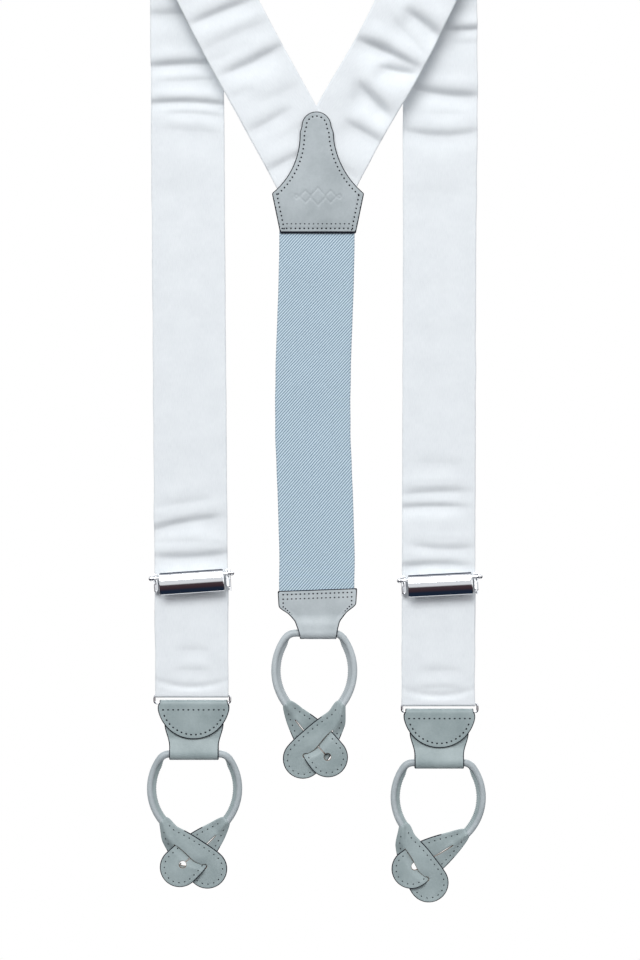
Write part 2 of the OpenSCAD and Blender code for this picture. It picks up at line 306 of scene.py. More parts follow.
def inset(outline, amount):
    """The counterclockwise outline moved inwards; a negative amount moves it outwards."""
    out = []
    count = len(outline)
    for i, p in enumerate(outline):
        a, b = outline[i - 1], outline[(i + 1) % count]
        dx, dz = b[0] - a[0], b[1] - a[1]
        length = math.hypot(dx, dz) or 1
        out.append((p[0] - dz / length * amount, p[1] + dx / length * amount))
    return out


def distance_to(outline, points):
    """Distance from each point to the closed outline."""
    a = np.array(outline)
    b = np.roll(a, -1, axis=0)
    d = b - a
    best = np.full(len(points), 1e9)
    for start, way in zip(a, d):
        t = np.clip(((points - start) @ way) / max(way @ way, 1e-12), 0, 1)
        gap = points - start - t[:, None] * way
        best = np.minimum(best, np.hypot(gap[:, 0], gap[:, 1]))
    return best


def is_inside(outline, points):
    """Whether each point is inside the closed outline."""
    inside = np.zeros(len(points), bool)
    x, z = points[:, 0], points[:, 1]
    for i, a in enumerate(outline):
        b = outline[(i + 1) % len(outline)]
        if a[1] == b[1]:
            continue
        crosses = (z < a[1]) != (z < b[1])
        at = a[0] + (z - a[1]) * (b[0] - a[0]) / (b[1] - a[1])
        inside ^= crosses & (x < at)
    return inside


def rim_only(x, z):
    return 0.0


def plate(
    name, outline, lay, thick, materials, holes=(), relief=None, grid=0.9, painted=rim_only
):
    """A leather shape with rounded, painted edges. lay(x, z, h) puts a point of the flat pattern in
    space, h above its middle; relief(x, z, d, side) lifts a face, d from the edge. materials are
    the leather, its edge, and the raw edge of the holes. painted(x, z) is how far the edge's paint
    comes over the face; below zero the edge is left plain."""
    outline = evened(outline)
    holes = [resampled(h, 0.5) for h in holes]
    holes = [h if area_of(h) < 0 else h[::-1] for h in holes]
    steps = 4
    loops = [outline, *holes]
    width_at = thick if callable(thick) else (lambda x, z: thick)

    inner = [inset(loop, rim if k == 0 else 0.25) for k, loop in enumerate(loops)]
    low = np.min(np.array(outline), axis=0)
    high = np.max(np.array(outline), axis=0)
    xs = np.arange(low[0], high[0], grid)
    zs = np.arange(low[1], high[1], grid)
    field = np.array([(x + (j % 2) * grid / 2, z) for j, z in enumerate(zs) for x in xs])
    keep = is_inside(inner[0], field) & (distance_to(inner[0], field) > 0.5 * grid)
    for hole in inner[1:]:
        keep &= ~is_inside(hole, field) & (distance_to(hole, field) > 0.4 * grid)
    field = field[keep]

    flat = [p for loop in inner for p in loop] + [tuple(p) for p in field]
    edges = []
    base = 0
    for loop in inner:
        edges += [(base + i, base + (i + 1) % len(loop)) for i in range(len(loop))]
        base += len(loop)
    found = geometry.delaunay_2d_cdt([Vector(p) for p in flat], edges, [], 1, 1e-5)
    source = [ids[0] if ids else None for ids in found[3]]
    triangles = [t for t in found[2] if all(source[i] is not None for i in t)]
    if holes:
        mids = np.array([np.mean([found[0][i] for i in t], axis=0) for t in triangles])
        gone = np.zeros(len(mids), bool)
        for hole in inner[1:]:
            gone |= is_inside(hole, mids)
        triangles = [t for t, g in zip(triangles, gone) if not g]

    spots = np.array(flat)
    depth = distance_to(outline, spots)
    points, faces, kinds = [], [], []
    for side in (1, -1):
        for (x, z), d in zip(flat, depth):
            lift = relief(x, z, d, side) if relief else 0
            points.append(lay(x, z, side * (width_at(x, z) / 2 + lift)))
    for t in triangles:
        ids = [source[i] for i in t]
        faces.append(tuple(ids))
        faces.append(tuple(len(flat) + i for i in reversed(ids)))
        reach = painted(*spots[ids].mean(axis=0))
        kind = 1 if reach > 0 and depth[ids].mean() < reach else 0
        kinds += [kind, kind]

    base = 0
    for number, loop in enumerate(loops):
        count = len(loop)
        reach = rim if number == 0 else 0.25
        rings = [[base + i for i in range(count)]]
        for side in (1, -1):
            order = range(steps - 1, 0, -1) if side == 1 else range(0, steps)
            for k in order:
                angle = math.radians(90 * k / steps)
                line = inset(loop, reach * (1 - math.cos(angle)))
                ring = []
                for i, (x, z) in enumerate(line):
                    lift = relief(x, z, 0, side) if relief else 0
                    height = (width_at(x, z) / 2 + lift) * math.sin(angle)
                    ring.append(len(points))
                    points.append(lay(x, z, side * height))
                rings.append(ring)
        rings.append([len(flat) + base + i for i in range(count)])
        for a, b in zip(rings, rings[1:]):
            for i in range(count):
                k = (i + 1) % count
                faces.append((a[i], a[k], b[k], b[i]))
                plain = number == 0 and painted(*loop[i]) < 0
                kinds.append(0 if plain else 2 if number else 1)
        base += count
    return build(name, points, faces, materials, kinds)


def running_lengths(path):
    """The distance along the path to each of its points."""
    lengths = [0.0]
    for a, b in zip(path, path[1:]):
        lengths.append(lengths[-1] + math.dist(a, b))
    return lengths


def along(path, pitch, closed=False):
    """Points and directions spaced about pitch apart on a path."""
    if closed:
        path = [*path, path[0]]
    lengths = running_lengths(path)
    count = max(1, round(lengths[-1] / pitch))
    step = lengths[-1] / count
    spots = []
    seg = 0
    for k in range(count if closed else count + 1):
        at = k * step
        while seg < len(path) - 2 and lengths[seg + 1] < at:
            seg += 1
        a, b = path[seg], path[seg + 1]
        t = (at - lengths[seg]) / max(lengths[seg + 1] - lengths[seg], 1e-9)
        way = ((b[0] - a[0]), (b[1] - a[1]))
        size = math.hypot(*way) or 1
        spots.append(((mix(a[0], b[0], t), mix(a[1], b[1], t)), (way[0] / size, way[1] / size)))
    return spots


def stitch(lay, spot, way, height, length=1.1, radius=0.42):
    """One bead of thread lying on the leather."""
    rings = []
    for i in range(1, 6):
        a = math.pi * i / 6
        s = -math.cos(a) * length / 2
        r = math.sin(a) ** 0.7 * radius
        ring = []
        for k in range(8):
            b = 2 * math.pi * k / 8
            x = spot[0] + way[0] * s - way[1] * r * math.cos(b)
            z = spot[1] + way[1] * s + way[0] * r * math.cos(b)
            ring.append(lay(x, z, height + math.copysign(1, height) * 0.5 * r * math.sin(b)))
        rings.append(ring)
    return skin(rings)


def seam(name, rows, lay, thick, relief, sides=(1, -1), bead=(1.1, 0.42)):
    """The stitches of one piece: rows are lists of (point, direction)."""
    shapes = []
    for side in sides:
        for row in rows:
            for spot, way in row:
                lift = relief(*spot, stitch_inset, side) if relief else 0
                width = thick(*spot) if callable(thick) else thick
                shapes.append(stitch(lay, spot, way, side * (width / 2 + lift + 0.04), *bead))
    points, faces = join_shapes(shapes)
    return build(name, points, faces, [thread])


def folded(path):
    """A lay function for leather folded along x: path is its (y, z) route seen from the end, and
    the pattern's second coordinate runs along it, 0 at its middle."""
    lengths = running_lengths(path)
    half = lengths[-1] / 2
    table = np.array(lengths) - half
    ys = np.array([p[0] for p in path])
    zs = np.array([p[1] for p in path])

    def lay(x, s, h):
        y = float(np.interp(s, table, ys))
        z = float(np.interp(s, table, zs))
        dy = float(np.interp(s + 0.15, table, ys) - np.interp(s - 0.15, table, ys))
        dz = float(np.interp(s + 0.15, table, zs) - np.interp(s - 0.15, table, zs))
        size = math.hypot(dy, dz) or 1
        return Vector((x, y + dz / size * h, z - dy / size * h))

    return lay, half, lambda s: float(np.interp(s, table, zs))


# ---- Materials ----


def shader(name, colour, roughness, **values):
    """A Principled material; returns it with its node tree and shader node."""
    mat = bpy.data.materials.new(name)
    mat.use_nodes = True
    tree = mat.node_tree
    node = tree.nodes["Principled BSDF"]
    node.inputs["Base Color"].default_value = (*colour, 1)
    node.inputs["Roughness"].default_value = roughness
    for key, value in values.items():
        node.inputs[key.replace("_", " ")].default_value = value
    return mat, tree, node


def add(tree, kind, **settings):
    """A node with its properties and unlinked inputs set."""
    node = tree.nodes.new(kind)
    for key, value in settings.items():
        if key in node.inputs:
            node.inputs[key].default_value = value
        else:
            setattr(node, key, value)
    return node


def shades(tree, factor, dark, light, low=0.0, high=1.0):
    """A colour ramp from dark to light, driven by factor."""
    ramp = add(tree, "ShaderNodeValToRGB")
    ramp.color_ramp.elements[0].position = low
    ramp.color_ramp.elements[0].color = (*dark, 1)
    ramp.color_ramp.elements[1].position = high
    ramp.color_ramp.elements[1].color = (*light, 1)
    tree.links.new(factor, ramp.inputs["Fac"])
    return ramp.outputs["Color"]


def bump(tree, node, height, distance, strength):
    """Feeds a height into the shader's normal, distance in millimetres."""
    relief = add(tree, "ShaderNodeBump", Strength=strength, Distance=distance * MM)
    tree.links.new(height, relief.inputs["Height"])
    tree.links.new(relief.outputs["Normal"], node.inputs["Normal"])


def place_of(tree, output, scale, turn=0.0):
    """Texture coordinates scaled by scale, and turned about z."""
    source = add(tree, "ShaderNodeTexCoord")
    mapping = add(tree, "ShaderNodeMapping")
    mapping.inputs["Scale"].default_value = scale
    mapping.inputs["Rotation"].default_value = (0, 0, math.radians(turn))
    tree.links.new(source.outputs[output], mapping.inputs["Vector"])
    return mapping.outputs["Vector"]


def piece_place(tree):
    """Texture coordinates in millimetres, fixed to the piece."""
    return place_of(tree, "Object", (1000, 1000, 1000))


def noise_of(tree, where, size, detail=3.0, rough=0.55):
    tex = add(tree, "ShaderNodeTexNoise", Scale=size, Detail=detail, Roughness=rough)
    tree.links.new(where, tex.inputs["Vector"])
    return tex.outputs["Fac"]


def wave_of(tree, where, size, distortion=0.0):
    tex = add(tree, "ShaderNodeTexWave", Scale=size, Distortion=distortion)
    tree.links.new(where, tex.inputs["Vector"])
    return tex.outputs["Fac"]


def total(tree, a, b, share=1.0):
    """a + share * b"""
    node = add(tree, "ShaderNodeMath", operation="MULTIPLY_ADD")
    tree.links.new(b, node.inputs[0])
    node.inputs[1].default_value = share
    tree.links.new(a, node.inputs[2])
    return node.outputs[0]


def make_satin():
    """Silver-white silk satin: fine ribs across, a soft sheen and faint weave streaks."""
    mat, tree, node = shader("satin", (0.80, 0.83, 0.86), 0.5)
    node.inputs["Sheen Weight"].default_value = 0.08
    node.inputs["Sheen Roughness"].default_value = 0.4
    node.inputs["Specular IOR Level"].default_value = 0.22
    flat = place_of(tree, "UV", (1, 1, 1))
    streaks = noise_of(tree, place_of(tree, "UV", (2.4, 0.3, 1)), 1.0)
    cloudy = noise_of(tree, flat, 0.09, 2.0)
    both = total(tree, streaks, cloudy, 0.6)
    colour = shades(tree, both, (0.77, 0.81, 0.835), (0.85, 0.89, 0.91), 0.4, 1.2)
    tree.links.new(colour, node.inputs["Base Color"])
    ribs = wave_of(tree, place_of(tree, "UV", (0.0, 1.0, 1), 90), 0.9)
    warp = wave_of(tree, place_of(tree, "UV", (1.0, 0.0, 1)), 1.1)
    grain = noise_of(tree, flat, 2.2, 2.0)
    bump(tree, node, total(tree, total(tree, ribs, warp, 0.8), grain, 1.2), 0.07, 0.5)
    return mat


def make_twill():
    """Light-blue elastic: dark twill lines that rise to the right, between paler selvedges."""
    mat, tree, node = shader("twill", (0.38, 0.55, 0.68), 0.7)
    node.inputs["Sheen Weight"].default_value = 0.3
    lines = wave_of(tree, place_of(tree, "UV", (1, 1, 1), -42), 0.272, 0.6)
    ribs = wave_of(tree, place_of(tree, "UV", (1, 1, 1), 0), 0.9)
    threads = noise_of(tree, place_of(tree, "UV", (1, 3, 1)), 1.3)
    mixed = total(tree, total(tree, lines, ribs, 0.18), threads, 0.35)
    colour = shades(tree, mixed, (0.13, 0.22, 0.31), (0.59, 0.73, 0.815), 0.28, 0.95)
    tree.links.new(colour, node.inputs["Base Color"])
    bump(tree, node, mixed, 0.18, 0.6)
    return mat


def make_leather(name, dark, light):
    """Smooth calf with a fine pebble grain and cloudy tone."""
    mat, tree, node = shader(name, light, 0.42)
    node.inputs["Specular IOR Level"].default_value = 0.35
    where = piece_place(tree)
    tone = total(tree, noise_of(tree, where, 0.07, 3.0), noise_of(tree, where, 0.8, 4.0), 0.35)
    colour = shades(tree, tone, dark, light, 0.35, 1.0)
    tree.links.new(colour, node.inputs["Base Color"])
    cells = add(tree, "ShaderNodeTexVoronoi", Scale=1.9)
    tree.links.new(where, cells.inputs["Vector"])
    grain = total(tree, cells.outputs["Distance"], noise_of(tree, where, 2.6, 3.0), 0.8)
    bump(tree, node, grain, 0.07, 0.35)
    return mat


def make_paint(name, colour, roughness):
    """Paint, thread or a raw edge: one colour broken up by fine noise."""
    mat, tree, node = shader(name, colour, roughness)
    node.inputs["Specular IOR Level"].default_value = 0.15
    where = piece_place(tree)
    speck = noise_of(tree, where, 2.0, 3.0)
    dark = tuple(0.7 * c for c in colour)
    light = tuple(1.35 * c for c in colour)
    tree.links.new(shades(tree, speck, dark, light, 0.3, 0.7), node.inputs["Base Color"])
    bump(tree, node, speck, 0.05, 0.4)
    return mat


def make_chrome():
    """Polished plate with the faintest haze."""
    mat, tree, node = shader("chrome", (0.92, 0.93, 0.94), 0.07)
    node.inputs["Metallic"].default_value = 1.0
    where = piece_place(tree)
    haze = shades(tree, noise_of(tree, where, 0.35, 4.0), (0.04,) * 3, (0.13,) * 3, 0.35, 0.8)
    tree.links.new(haze, node.inputs["Roughness"])
    return mat


satin = make_satin()
twill = make_twill()
calf = make_leather("calf", (0.34, 0.385, 0.40), (0.49, 0.54, 0.56))
# A lighter copy of calf: painted highlight, used on the back tab and the back rope's tube.
calf_painted_highlight = make_leather("calf_painted_highlight", (0.40, 0.45, 0.465), (0.56, 0.61, 0.63))
calf_deep = make_leather("calf_deep", (0.25, 0.31, 0.315), (0.385, 0.455, 0.46))
paint = make_paint("edge_paint", (0.010, 0.012, 0.02), 0.6)
thread = make_paint("thread", (0.010, 0.012, 0.018), 0.8)
raw = make_paint("raw_edge", (0.17, 0.105, 0.07), 0.85)
chrome = make_chrome()
hide = [calf, paint, raw]
deep_hide = [calf_deep, paint, raw]
painted_highlight_hide = [calf_painted_highlight, paint, raw]
plated = [chrome, chrome, chrome]


# ---- Camera, light and floor ----


def make_camera():
    """Straight on, at the height of the middle of the braces."""
    data = bpy.data.cameras.new("camera")
    data.lens = 100
    data.sensor_width = 36
    camera = bpy.data.objects.new("camera", data)
    camera.location = (0.0021, -1.4, -0.2762)
    camera.rotation_euler = (math.radians(90), 0, 0)
    bpy.context.scene.collection.objects.link(camera)
    bpy.context.scene.camera = camera


def make_world():
    """A white studio that is darker low down, so that folds and metal have something to show."""
    world = bpy.data.worlds.new("studio")
    world.use_nodes = True
    bpy.context.scene.world = world
    tree = world.node_tree
    tree.nodes.clear()
    where = add(tree, "ShaderNodeTexCoord")
    split = add(tree, "ShaderNodeSeparateXYZ")
    tree.links.new(where.outputs["Generated"], split.inputs["Vector"])
    height = add(tree, "ShaderNodeMapRange")
    height.inputs["From Min"].default_value = -1
    tree.links.new(split.outputs["Z"], height.inputs["Value"])
    sky = add(tree, "ShaderNodeValToRGB")
    tree.links.new(height.outputs["Result"], sky.inputs["Fac"])
    bands = (
        (0.0, (0.012, 0.024, 0.05)), (0.22, (0.016, 0.026, 0.05)), (0.32, (0.055, 0.032, 0.04)),
        (0.47, (0.08, 0.055, 0.065)), (0.52, (0.94, 0.96, 1.0)), (0.92, (0.94, 0.96, 1.0)),
        (0.96, (0.05, 0.07, 0.12)),
    )
    for number, (at, tint) in enumerate(bands):
        if number > 1:
            sky.color_ramp.elements.new(at)
        sky.color_ramp.elements[number].position = at
        sky.color_ramp.elements[number].color = (*tint, 1)
    lit = add(tree, "ShaderNodeBackground", Strength=0.74)
    tree.links.new(sky.outputs["Color"], lit.inputs["Color"])
    seen = add(tree, "ShaderNodeBackground", Color=(1, 1, 1, 1), Strength=1.0)
    path = add(tree, "ShaderNodeLightPath")
    choose = add(tree, "ShaderNodeMixShader")
    out = add(tree, "ShaderNodeOutputWorld")
    tree.links.new(path.outputs["Is Camera Ray"], choose.inputs[0])
    tree.links.new(lit.outputs["Background"], choose.inputs[1])
    tree.links.new(seen.outputs["Background"], choose.inputs[2])
    tree.links.new(choose.outputs["Shader"], out.inputs["Surface"])
    bpy.context.scene.view_settings.view_transform = "Standard"


def make_light(name, where, wide, high, power):
    """A softbox aimed at the middle of the braces."""
    data = bpy.data.lights.new(name, "AREA")
    data.shape = "RECTANGLE"
    data.size = wide
    data.size_y = high
    data.energy = power
    lamp = bpy.data.objects.new(name, data)
    lamp.location = where
    aim = Vector((0, 0, -0.27)) - Vector(where)
    lamp.rotation_euler = aim.to_track_quat("-Z", "Y").to_euler()
    bpy.context.scene.collection.objects.link(lamp)


def make_floor():
    """A pale round floor below the braces."""
    radius, depth, bevel = 0.34, 0.012, 0.004
    rings = []
    for r, z in ((radius - bevel, -depth), (radius, bevel - depth), (radius, -bevel), (radius - bevel, 0)):
        rings.append([Vector((*polar(r, 5 * k), z - 0.9)) * 1000 for k in range(72)])
    points, faces = skin(rings)
    mat, tree, node = shader("floor", (0.86, 0.86, 0.86), 0.8)
    where = place_of(tree, "Object", (1, 1, 1))
    colour = shades(tree, noise_of(tree, where, 6.0), (0.84,) * 3, (0.88,) * 3)
    tree.links.new(colour, node.inputs["Base Color"])
    build("floor", points, faces, [mat])


make_camera()
make_world()
make_light("key", (-0.6, -2.6, 1.75), 2.2, 1.6, 80)
make_light("fill", (1.3, -1.5, -0.1), 1.2, 1.2, 5.5)
make_light("back", (0.3, 1.4, 0.5), 1.2, 1.2, 12)
make_floor()


# ---- Shoulder ribbons: down the back, and over the bend ----

# Folds: distance along the ribbon, depth, width, slant, bow, middle and reach across it
back_folds = {
    "left": [
        (35.5, 0.9, 3.0, -0.11, 0.2, 0, 18), (49.7, 0.55, 4.6, -0.06, 0.3, 0, 18),
        (66.2, 1.0, 3.2, -0.04, -0.2, -2, 17), (78, 0.2, 3, 0, 0, 12, 7),
        (97.7, 0.5, 3.0, 0.03, 0, 6, 12), (120.6, 0.5, 2.8, 0, 0, 9, 11),
        (58, 0.3, 4.0, -0.08, 0, 6, 12), (88, 0.28, 4.0, -0.05, 0, -6, 12),
        (109, 0.25, 4.0, 0.05, 0, -4, 14),
    ],
    "right": [
        (36.7, 1.4, 3.6, 0.12, 0.3, 9, 11), (46.4, 0.6, 3.8, 0.35, 0, 6, 12),
        (60, 1.5, 3.2, -0.05, 0.2, 0, 17), (68.5, 1.2, 3.2, -0.3, 0, 8, 9),
        (84.4, 1.45, 3.8, 0.3, 0, 5, 11), (102.8, 0.9, 3.4, 0, 0.2, 10, 11),
        (28, 0.4, 3.0, -0.1, 0, -12, 8), (125, 0.3, 3.0, 0.05, 0, 8, 10),
    ],
}
back_drift = {"left": 0.6, "right": 1.6}


def shoulder_stations(side):
    """From under the yoke, up the back, over the tilted bend and down to the front seam."""
    tilt = math.radians(back_slant / 2)
    slant = math.radians(back_slant)
    mirror = Vector((-OUT[side], 1, 1))
    axis = Vector((math.cos(tilt), 0, math.sin(tilt)))
    rise = Vector((-math.sin(tilt), 0, math.cos(tilt)))
    deep = Vector((0, 1, 0))
    middle = Vector((-fold_x[side], bend_mid_y, 0))
    travel = bend_radius * math.tan(tilt)
    stations = []

    def put(point, across, normal, v):
        stations.append((point * mirror, across * mirror, normal * mirror, v))

    down = Vector((math.sin(slant), 0, -math.cos(slant)))
    out = Vector((-math.cos(slant), 0, -math.sin(slant)))
    start = middle + axis * travel * math.pi / 2 - deep * bend_radius
    length = 151
    for i in range(int(length / 0.75) + 1):
        v = length - 0.75 * i
        drift = back_drift[side] * math.sin(math.pi * smooth(v / 110))
        sink = 0.33 * OUT[side] * smooth((v - 95) / 15)
        put(start + down * v + out * drift + deep * sink, out, -deep, v)
    arc_len = bend_radius * math.pi / math.cos(tilt)
    for i in range(1, 36):
        phi = math.pi * (1 - i / 36)
        radial = deep * math.cos(phi) + rise * math.sin(phi)
        way = axis * math.sin(tilt) + (rise * math.cos(phi) - deep * math.sin(phi)) * math.cos(tilt)
        point = middle + axis * travel * (phi - math.pi / 2) + radial * bend_radius
        put(point, -(radial.cross(way)), radial, -arc_len * i / 36)
    foot = middle - axis * travel * math.pi / 2 + deep * bend_radius
    for i in range(21):
        drop = -seam_z * i / 20 + foot.z * (1 - i / 20)
        x = mix(foot.x, -front_x_at(side, seam_z), smooth(i / 20))
        put(Vector((x, foot.y, -drop if i else foot.z)), Vector((-1, 0, 0)), deep, -arc_len - drop)
    return stations


def front_x_at(side, z):
    """How far out the middle of a front ribbon hangs at height z."""
    return mix(front_top_x[side], front_foot_x[side], min(max(-z / 380, 0), 1))


def make_shoulder(side):
    tilt = math.radians(back_slant)
    folds = creases(back_folds[side])
    seed = 3.7 if side == "left" else 9.1

    def relief(u, v):
        fade = smooth((v - 4) / 14) * smooth((139 - v) / 22)
        return fade * (back_fold_depth * folds(u, v) + 0.3 * ripple(u, v, 14, seed))

    def widths(v):
        middle_x = fold_x[side] - v * math.sin(tilt)
        inner = min(ribbon_half, (middle_x - 0.2) / math.cos(tilt)) if v > 60 else ribbon_half
        wave = 0.35 * ripple(0, v, 16, seed)
        return max(inner, 0.5), ribbon_half + wave

    name = "shoulder_ribbon_" + side
    obj = ribbon(name, shoulder_stations(side), ribbon_thick, widths, relief, satin)
    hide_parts("strap_back_" + side)
    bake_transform(obj)


# ---- Front ribbons: from the seam down to the ring and round its bar ----

front_folds = {
    "left": [
        (30.9, 0.8, 3.0, 0.0, 0.2, -4, 18), (57.2, 1.3, 2.5, -0.04, 0.2, -3, 19),
        (66, 0.5, 2.2, -0.04, 0, 0, 16), (77.2, 1.15, 2.0, 0.02, 0.3, 0, 22),
        (83.2, 0.6, 2.0, 0.03, 0.4, 4, 16), (92.5, 0.45, 3.6, 0.07, 0.3, 2, 15),
        (124, 0.2, 6, 0.0, 0, -6, 12), (288.5, 0.4, 3, -0.15, 0, -3, 13),
        (298.6, 1.2, 3.1, -0.17, 0.3, -4, 19), (309.3, 0.45, 2.8, -0.03, 0, -6, 14),
        (317.6, 1.2, 3.0, -0.05, -0.3, 0, 20), (366, 0.2, 2.2, 0.0, 0.5, 0, 9),
        (376.5, 0.22, 1.8, 0.0, 0.5, 0, 9),
    ],
    "right": [
        (39.3, 1.2, 2.2, 0.02, -0.2, 13, 10), (46.5, 0.7, 3.4, 0.0, 0, 15, 9),
        (73.2, 1.4, 3.0, 0.15, -0.5, 3, 18), (83.6, 0.25, 2.4, 0.0, 0, 3, 10),
        (95, 0.85, 2.8, 0.02, -0.6, 0, 20), (125.5, 0.2, 5, 0.0, 0, -4, 14),
        (268, 0.2, 3, 0.02, 0, 0, 13), (283, 0.8, 2.8, -0.03, 0.2, -2, 17),
        (290.4, 0.9, 2.0, 0.0, 0.2, -5, 18), (313, 0.7, 2.6, 0.06, -0.5, 2, 15),
        (321.4, 1.15, 2.6, 0.0, 0.3, -3, 18), (377, 0.25, 2.4, -0.03, 0.6, 0, 11),
        (386, 0.3, 2.0, 0.0, 0.6, 0, 12),
    ],
}


def make_front(side):
    ring = pivot(side + "_ring_swing")
    folds = creases(front_folds[side])
    seed = 21.3 if side == "left" else 33.9
    across = Vector((OUT[side], 0, 0))
    wrap = (return_y - loop_y) / 2
    hang = -ring.z
    stations = []
    rows = int((hang + seam_z) / 0.8)
    for i in range(rows + 1):
        v = mix(-seam_z, hang, i / rows)
        y = mix(front_y, loop_y, smooth((v - 60) / 180))
        centre = Vector((OUT[side] * front_x_at(side, -v), y, -v))
        stations.append((centre, across, Vector((0, -1, 0)), v))
    x = OUT[side] * front_x_at(side, ring.z)
    for i in range(1, 17):
        y, z = polar(wrap, 180 + 180 * i / 16)
        centre = Vector((x, ring.y + y, ring.z + z))
        stations.append((centre, across, Vector((0, y, z)).normalized(), hang + wrap * math.pi * i / 16))

    def relief(u, v):
        start = smooth((v + seam_z) / 12)
        end = smooth((hang - 0.5 - v) / 3)
        pucker = -0.75 * bell((v - hang + 4.2 + u * u / 100) / 1.9) * bell(u / 18)
        room = mix(2.0, 0.3, smooth((v - 215) / 40))
        lift = front_fold_depth * folds(u if side == "right" else -u, v)
        return start * end * (min(lift, room) + 0.16 * ripple(u, v, 13, seed) + pucker)

    def widths(v):
        wave = 0.3 * ripple(0, v, 15, seed) + (0.6 * bell((v - 80) / 40) if side == "right" else 0)
        keep = smooth((v + seam_z) / 10)
        return ribbon_half + keep * wave * 0.5, ribbon_half + keep * wave

    obj = ribbon("front_ribbon_" + side, stations, ribbon_thick, widths, relief, satin)
    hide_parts("strap_front_" + side, "strap_loop_" + side)
    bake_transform(obj)


def make_return(side):
    """The ribbon's end: up behind, over the adjuster's end bar, and sewn down as a short tail."""
    ring = pivot(side + "_ring_swing")
    lever = pivot(side + "_lever_flip")
    turn = joints[side + "_lever_flip"]["axis"]
    tilt = math.atan2(turn[2], turn[0]) + math.pi
    bar_r = 1.1
    bar = Vector((OUT[side] * 65.2, front_y + 2.1, lever.z - 8.5))
    x = OUT[side] * front_x_at(side, ring.z)
    stations = []
    seed = 41.7

    def put(y, z, normal, v, share):
        a = tilt * share
        across = Vector((math.cos(a), 0, math.sin(a)))
        centre = Vector((mix(x, bar.x, share), y, z))
        stations.append((centre, across, normal, v))

    rise = bar.z - ring.z
    rows = int(rise / 1.0)
    for i in range(rows + 1):
        t = i / rows
        put(return_y, mix(ring.z, bar.z, t), Vector((0, 1, 0)), rise * t, smooth(t))
    for i in range(1, 17):
        y, z = polar(bar_r, 180 - 180 * i / 16)
        put(bar.y + y, bar.z + z, Vector((0, y, z)).normalized() * -1, rise + bar_r * math.pi * i / 16, 1)
    tail = 9
    for i in range(1, 10):
        put(bar.y + bar_r, bar.z - tail * i / 9, Vector((0, -1, 0)), rise + 3.5 + i, 1)

    def relief(u, v):
        inside = smooth(v / 6) * smooth((rise - v) / 8)
        return 0.12 * inside * ripple(u, v, 10, seed)

    half = ribbon_half - 0.3
    obj = ribbon("return_ribbon_" + side, stations, ribbon_thick, lambda v: (half, half), relief, satin)
    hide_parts("strap_return_" + side)
    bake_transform(obj)


# ---- Elastic ----


def make_elastic():
    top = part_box("elastic_web")[1].z * 1000
    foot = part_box("back_tab")[1].z * 1000 - 7.4
    length = top - foot
    stations = []
    rows = int(length / 0.9)
    for i in range(rows + 1):
        v = length * i / rows
        z = top - v
        bow = -2.2 * math.sin(math.pi * smooth((yoke_foot - z) / 180)) + 0.5
        stations.append((Vector((bow, back_y, z)), Vector((1, 0, 0)), Vector((0, -1, 0)), v))

    def relief(u, v):
        selvedge = 0.12 * smooth((abs(u) - 17.2) / 0.8)
        return 0.25 * ripple(u, v, 22, 5.5) * smooth((19 - abs(u)) / 8) - selvedge

    def widths(v):
        wave = 0.2 * ripple(0, v, 12, 6.5)
        return 19.3 + wave, 19.3 - wave

    obj = ribbon("elastic_band", stations, 1.15, widths, relief, twill, columns=60)
    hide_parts("elastic_web")
    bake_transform(obj)


# ---- Yoke ----


def yoke_outline():
    """Round nub, hollow sides and a straight foot, about the yoke's top centre."""
    half = arc((0, -yoke_nub), yoke_nub, 90, 0, 14)
    neck_x, neck_z = yoke_neck
    low = math.degrees(math.asin((yoke_shoulder - neck_z) / yoke_side_r))
    half += arc((neck_x + yoke_side_r, -neck_z), yoke_side_r, 180, 180 + low, 24)
    half += [(yoke_foot_half, yoke_foot - yoke_top)]
    return [(-x, z) for x, z in half[1:]][::-1] + half


def yoke_ornament(x, z):
    """A pressed row of three plain lozenges between two dots."""
    dz = z + 0.70 * (yoke_top - yoke_foot)
    lines = 0.0
    for mid, wide, high in ((0, 4.2, 4.6), (-6.6, 3.0, 3.2), (6.6, 3.0, 3.2)):
        gap = (abs(x - mid) / wide + abs(dz) / high - 1) * min(wide, high) * 0.72
        lines = max(lines, bell(gap / 0.38))
    for mid in (-11.2, 11.2):
        lines = max(lines, bell((math.hypot(x - mid, dz) - 0.9) / 0.4))
    return -0.24 * lines


def yoke_relief(x, z, d, side):
    seam_line = -0.12 * bell((d - stitch_inset) / 0.5)
    padding = 0.14 * smooth((d - 3) / 5)
    pressed = yoke_ornament(x, z) if side > 0 else 0
    return seam_line + padding + pressed + 0.05 * ripple(x, z, 7, 2.5)


